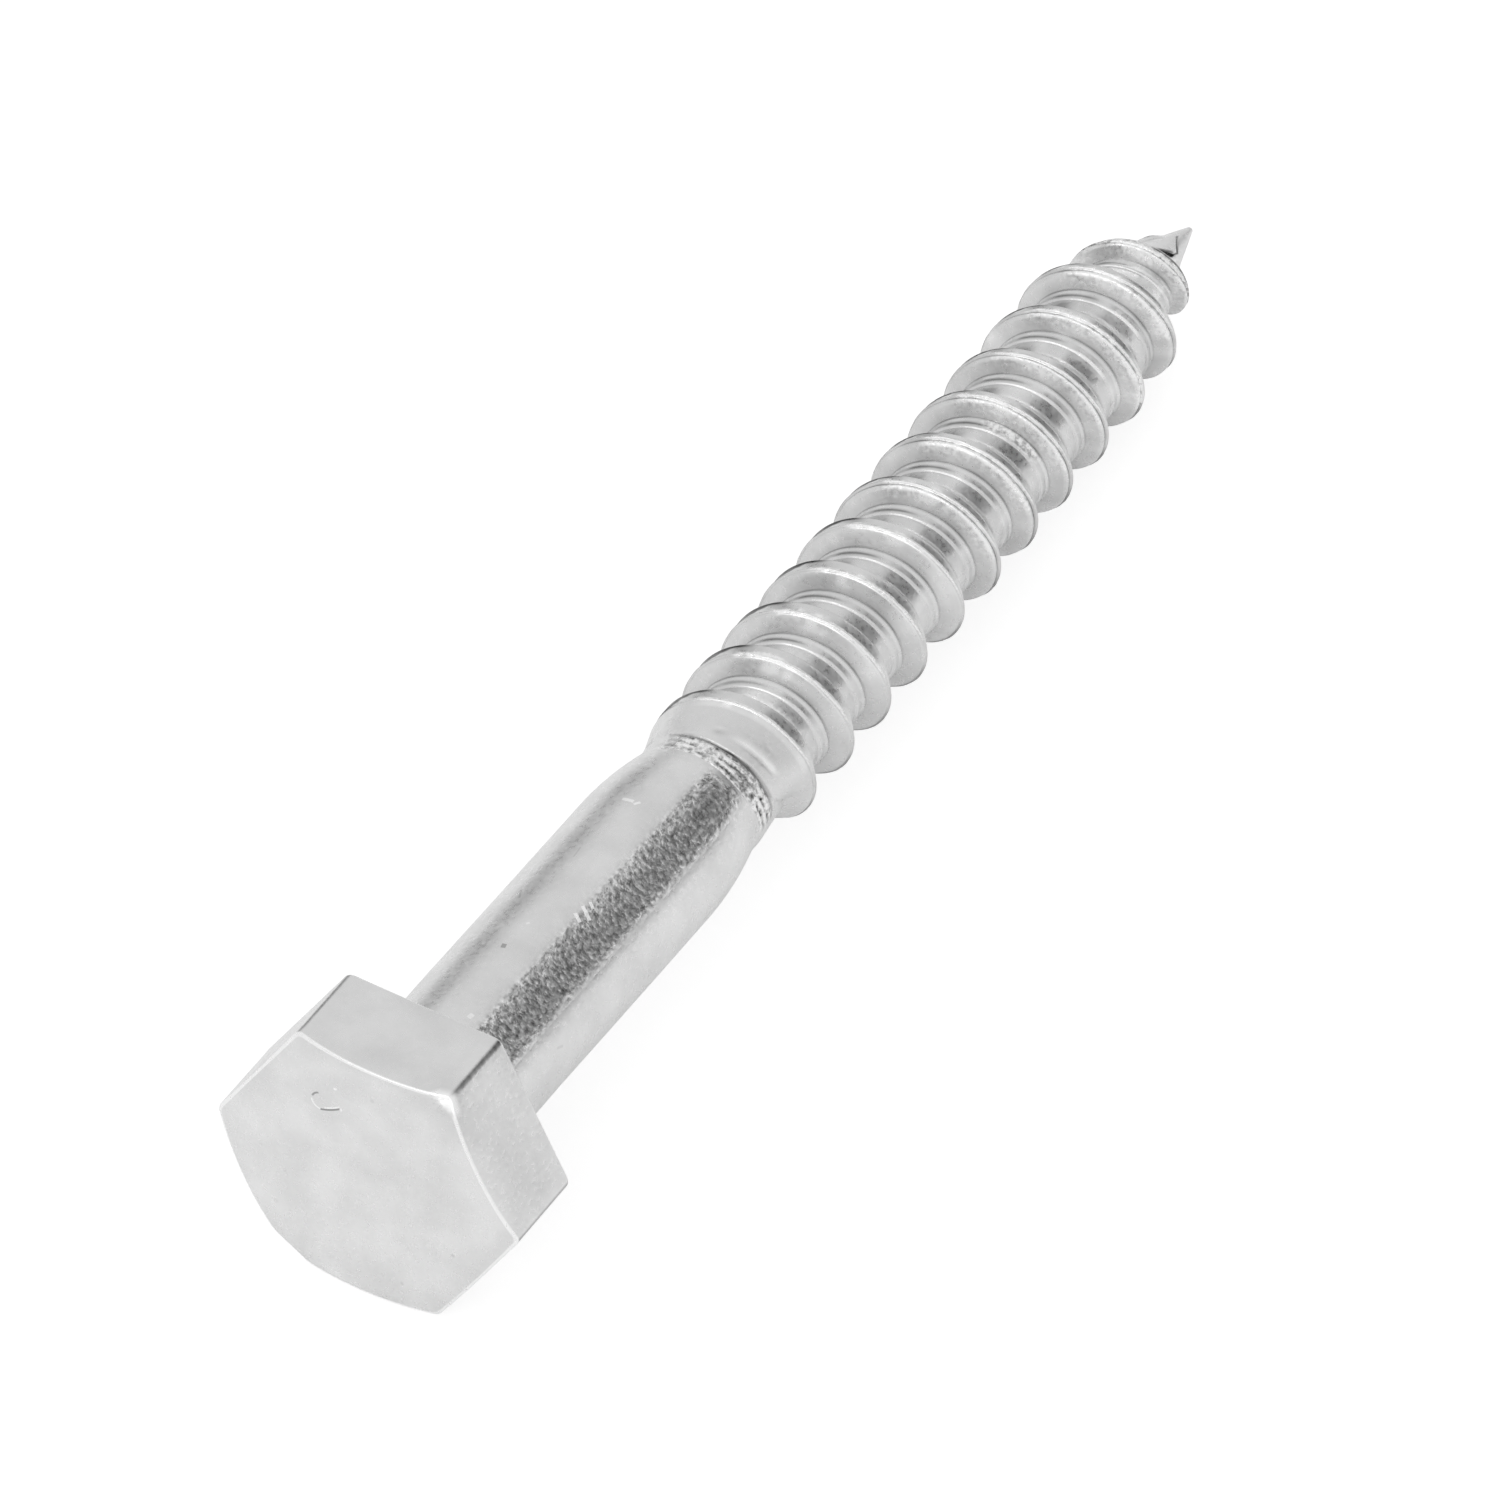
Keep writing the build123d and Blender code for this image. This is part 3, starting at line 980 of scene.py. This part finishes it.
def zinc_material():
    """Bright zinc plating: satin metal with an orange-peel grain, flaky where it is rough."""
    material, tree, surface = new_material("bright_zinc")
    shader = add_node(tree, "BsdfPrincipled")
    tree.links.new(shader.outputs[0], surface)
    grain = cloudy(tree, 0.32, 2)
    blotches = cloudy(tree, 3.0, 4)
    flakes = cloudy(tree, 0.30, 2)
    rough = attribute(tree, "rough")

    mottle = add_math(tree, "MULTIPLY", mapped(tree, flakes, (0.3, 0.7), (-0.9, 0.9)), rough)
    # The tone attribute carries the painted light and shade set on the mesh, besides real marks
    tone = add_math(tree, "ADD", attribute(tree, "tone"), mottle)
    for nick in NICKS:
        tone = add_math(tree, "ADD", tone, nick_tone(tree, *nick))
    for scratch in SCRATCHES:
        tone = add_math(tree, "ADD", tone, scratch_tone(tree, *scratch))

    zinc = add_node(tree, "ValToRGB", blotches)
    for stop, (position, grey) in zip(zinc.color_ramp.elements, ((0.35, 0.74), (0.65, 0.82))):
        stop.position = position
        stop.color = (grey, grey, grey, 1)
    toned = add_node(tree, "VectorMath", zinc.outputs["Color"], operation="SCALE")
    set_input(tree, toned.inputs["Scale"], mapped(tree, tone, (-1.4, 1.0), (0.02, 1.7)))
    brightest = (0.95, 0.95, 0.95)
    capped = add_node(tree, "VectorMath", toned.outputs[0], brightest, operation="MINIMUM")
    set_input(tree, shader.inputs["Base Color"], capped.outputs[0])
    # A bright tone makes the metal whiter and less metallic, so that painted highlights show white
    set_input(tree, shader.inputs["Metallic"], mapped(tree, tone, (0.15, 0.9), (1.0, 0.3)))
    set_input(tree, shader.inputs["Roughness"], mapped(tree, grain, (0.3, 0.7), (0.24, 0.40)))

    flaky = bumpy(tree, add_math(tree, "MULTIPLY", flakes, rough), 0.8, 0.1)
    orange_peel = bumpy(tree, grain, 0.7, 0.022)
    set_input(tree, orange_peel.inputs["Normal"], flaky.outputs["Normal"])
    set_input(tree, shader.inputs["Normal"], orange_peel.outputs["Normal"])
    return material


def nick_tone(tree, middle, radius, half_width, directions, tone):
    """Line along a part of a circle on the head's top face, or a spot where the radius is nil."""
    axes = ((0, 1, 0), (0, 0, 1), (1, 0, 0))
    across, up, off_face = local_places(tree, (-HEAD_HEIGHT, *middle), axes)
    squares = [add_math(tree, "POWER", value, 2.0) for value in (across, up)]
    from_middle = add_math(tree, "SQRT", add_math(tree, "ADD", *squares))
    off_line = add_math(tree, "SUBTRACT", from_middle, radius * MM)
    direction = add_math(tree, "ARCTAN2", up, across)
    first, last = (math.radians(angle) for angle in directions)
    after_first = add_math(tree, "GREATER_THAN", direction, first)
    before_last = add_math(tree, "LESS_THAN", direction, last)
    between = add_math(tree, "MULTIPLY", after_first, before_last)
    on_line = all_within(tree, ((off_line, half_width), (off_face, SKIN_DEPTH)))
    return add_math(tree, "MULTIPLY", add_math(tree, "MULTIPLY", on_line, between), tone)


def scratch_tone(tree, first, last, half_width, tone):
    """Short straight line on the shank."""
    ends = []
    for x, turn in (first, last):
        angle = math.radians(turn)
        outward = Vector((0, math.cos(angle), math.sin(angle)))
        ends.append(Vector((x, float(bow(x)), 0)) + outward * SHANK_RADIUS)
    run = ends[1] - ends[0]
    axes = (run.normalized(), run.cross(outward).normalized(), outward)
    along, aside, off_shank = local_places(tree, (ends[0] + ends[1]) / 2, axes)
    limits = ((along, run.length / 2), (aside, half_width), (off_shank, SKIN_DEPTH))
    return add_math(tree, "MULTIPLY", all_within(tree, limits), tone)


def floor_material():
    """White paper. The camera sees it a little overexposed, so that its shadow stays faint."""
    material, tree, surface = new_material("white_paper")
    rays = add_node(tree, "LightPath")

    def paper(shade, light):
        diffuse = add_node(tree, "BsdfDiffuse", (shade, shade, shade, 1))
        glow = add_node(tree, "Emission", (1, 1, 1, 1), light)
        return add_node(tree, "AddShader", diffuse.outputs[0], glow.outputs[0]).outputs[0]

    def chosen(ray, otherwise, for_ray):
        return add_node(tree, "MixShader", rays.outputs[ray], otherwise, for_ray).outputs[0]

    mirrored = chosen("Is Glossy Ray", paper(0.9, 0.0), paper(0.9, 0.13))
    tree.links.new(chosen("Is Camera Ray", mirrored, paper(0.42, 0.74)), surface)
    return material


# Studio

FLOOR_SIZE = 3.0

# Dark parts of the studio, and a bright one overhead: middle, direction of the first width, both
# half widths and softness in degrees, and how many times the studio's plain light each gives
STUDIO_PATCHES = (
    ((0.769, -0.503, 0.395), (0.675, 0.427, -0.600), 22, 26, 6, 0.18),
    ((0.660, 0.728, 0.178), (0.675, -0.427, -0.600), 14, 12, 7, 0.45),
    ((-0.700, -0.060, 0.710), (0.710, 0.0, 0.700), 16, 31, 7, 2.4),
)

# Camera: its direction and roll in degrees, what it aims at from the middle of the model's box
# and how far it is from there in millimetres, and its lens
CAMERA_AZIMUTH = -61.797
CAMERA_ELEVATION = 45.160
CAMERA_ROLL = 2.484
CAMERA_AIM = (-5.372, -0.490, -2.028)
CAMERA_DISTANCE = 856.97
CAMERA_LENS = 357.98
CAMERA_SENSOR_WIDTH = 36
CAMERA_CLIP_END = 10


def add_floor():
    """Large sheet of white paper."""
    mesh = bmesh.new()
    bmesh.ops.create_grid(mesh, x_segments=4, y_segments=4, size=FLOOR_SIZE)
    floor = new_object("floor", mesh)
    floor.data.materials.append(floor_material())


def add_world():
    """A pale studio all round, with patches that give the metal its contrast."""
    world = bpy.data.worlds.new("studio")
    bpy.context.scene.world = world
    world.use_nodes = True
    tree = world.node_tree
    tree.nodes.clear()
    direction = add_node(tree, "TexCoord").outputs["Generated"]

    def facing(vector):
        dot = add_node(tree, "VectorMath", direction, vector, operation="DOT_PRODUCT")
        return dot.outputs["Value"]

    def from_middle(side, ahead, half_width):
        """Angle from a patch's middle towards one side, as a share of the half width."""
        angle = add_math(tree, "ARCTAN2", facing(side), ahead)
        return add_math(tree, "DIVIDE", angle, math.radians(half_width))

    def patch_light(middle, first, first_width, second_width, softness, strength):
        """Light of one patch inside its oval, and the plain light outside it."""
        middle = Vector(middle).normalized()
        second = middle.cross(Vector(first)).normalized()
        ahead = facing(middle)
        shares = (
            from_middle(second.cross(middle), ahead, first_width),
            from_middle(second, ahead, second_width),
        )
        squares = [add_math(tree, "POWER", share, 2) for share in shares]
        reach = add_math(tree, "SQRT", add_math(tree, "ADD", *squares))
        soft = softness / second_width
        edge = add_node(tree, "MapRange", reach, 1 - soft, 1 + soft, strength, 1)
        edge.interpolation_type = "SMOOTHSTEP"
        return edge.outputs[0]

    light, *others = [patch_light(*patch) for patch in STUDIO_PATCHES]
    for other in others:
        light = add_math(tree, "MULTIPLY", light, other)
    studio = add_node(tree, "Background")
    set_input(tree, studio.inputs["Strength"], light)
    backdrop = add_node(tree, "Background")
    seen = add_node(tree, "LightPath").outputs["Is Camera Ray"]
    shown = add_node(tree, "MixShader", seen, studio.outputs[0], backdrop.outputs[0])
    add_node(tree, "OutputWorld", shown.outputs[0])


def add_camera():
    """The camera, at the same place and lens as in the picture that the scene follows."""
    angles = (CAMERA_AZIMUTH, CAMERA_ELEVATION, CAMERA_ROLL)
    azimuth, elevation, roll = (math.radians(angle) for angle in angles)
    back = Vector((
        math.sin(azimuth) * math.cos(elevation),
        -math.cos(azimuth) * math.cos(elevation),
        math.sin(elevation),
    ))
    right = Matrix.Rotation(roll, 3, back) @ Vector((math.cos(azimuth), math.sin(azimuth), 0))
    turned = Matrix((right, back.cross(right), back)).transposed().to_4x4()
    low, high = (Vector(corner) for corner in cad_bounds)
    aim = (low + high) / 2 + Vector(CAMERA_AIM) * MM
    data = bpy.data.cameras.new("camera")
    data.lens = CAMERA_LENS
    data.sensor_width = CAMERA_SENSOR_WIDTH
    data.clip_end = CAMERA_CLIP_END
    camera = bpy.data.objects.new("camera", data)
    camera.matrix_world = Matrix.Translation(aim + back * (CAMERA_DISTANCE * MM)) @ turned
    bpy.context.scene.collection.objects.link(camera)
    bpy.context.scene.camera = camera


bpy.context.scene.view_settings.view_transform = "Standard"

screw = build_screw()
screw.data.materials.append(zinc_material())
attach(screw, "root")
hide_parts("lag_screw")
add_floor()
add_world()
add_camera()
